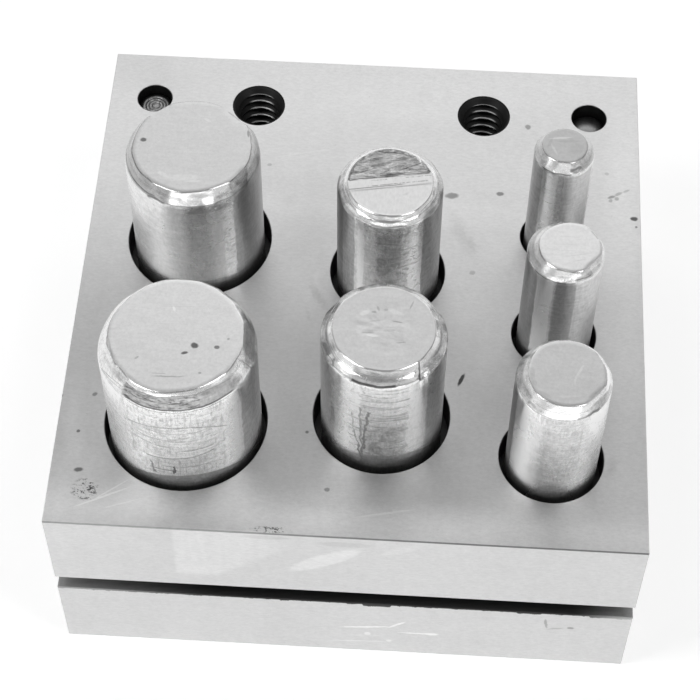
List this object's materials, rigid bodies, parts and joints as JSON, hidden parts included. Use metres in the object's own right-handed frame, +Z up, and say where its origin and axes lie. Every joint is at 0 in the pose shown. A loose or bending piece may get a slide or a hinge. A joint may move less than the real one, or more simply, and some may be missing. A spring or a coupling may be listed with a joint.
{
  "type": "disc cutter",
  "caption": "Bench disc cutter: round punches stand in a guide plate screwed and dowelled over a die plate, with a throat between them for sheet metal.",
  "frame": {"origin": "middle of the block's underside, on the bench", "axes": "+Z up along the punches, +Y from the open front of the throat to the closed back, +X to the right seen from the front"},
  "size_m": [0.123, 0.1274, 0.0825],
  "materials": {
    "plate_steel": "surface-ground tool steel, satin, with faint stains, specks and fine scratches",
    "punch_steel": "ground and polished tool steel, bright sides and matt, hammer-worn struck ends",
    "spacer_steel": "milled steel, dull",
    "dowel_steel": "turned steel, grey",
    "screw_steel": "blackened alloy steel, slightly oily"
  },
  "bodies": {
    "block": {"guide_plate": "plate_steel", "die_plate": "plate_steel", "spacer_bar": "spacer_steel", "dowel_left": "dowel_steel", "dowel_right": "dowel_steel", "cap_screw_left": "screw_steel", "cap_screw_right": "screw_steel"},
    "punch_1": {"punch_1": "punch_steel"},
    "punch_2": {"punch_2": "punch_steel"},
    "punch_3": {"punch_3": "punch_steel"},
    "punch_4": {"punch_4": "punch_steel"},
    "punch_5": {"punch_5": "punch_steel"},
    "punch_6": {"punch_6": "punch_steel"},
    "punch_7": {"punch_7": "punch_steel"}
  },
  "joints": [
    {"name": "punch_1_slide", "type": "slide", "parent": "block", "child": "punch_1", "axis": [0, 0, 1], "range_m": [0, 0.0508]},
    {"name": "punch_2_slide", "type": "slide", "parent": "block", "child": "punch_2", "axis": [0, 0, 1], "range_m": [0, 0.0508]},
    {"name": "punch_3_slide", "type": "slide", "parent": "block", "child": "punch_3", "axis": [0, 0, 1], "range_m": [0, 0.0508]},
    {"name": "punch_4_slide", "type": "slide", "parent": "block", "child": "punch_4", "axis": [0, 0, 1], "range_m": [0, 0.0508]},
    {"name": "punch_5_slide", "type": "slide", "parent": "block", "child": "punch_5", "axis": [0, 0, 1], "range_m": [0, 0.0508]},
    {"name": "punch_6_slide", "type": "slide", "parent": "block", "child": "punch_6", "axis": [0, 0, 1], "range_m": [0, 0.0508]},
    {"name": "punch_7_slide", "type": "slide", "parent": "block", "child": "punch_7", "axis": [0, 0, 1], "range_m": [0, 0.0508]}
  ]
}
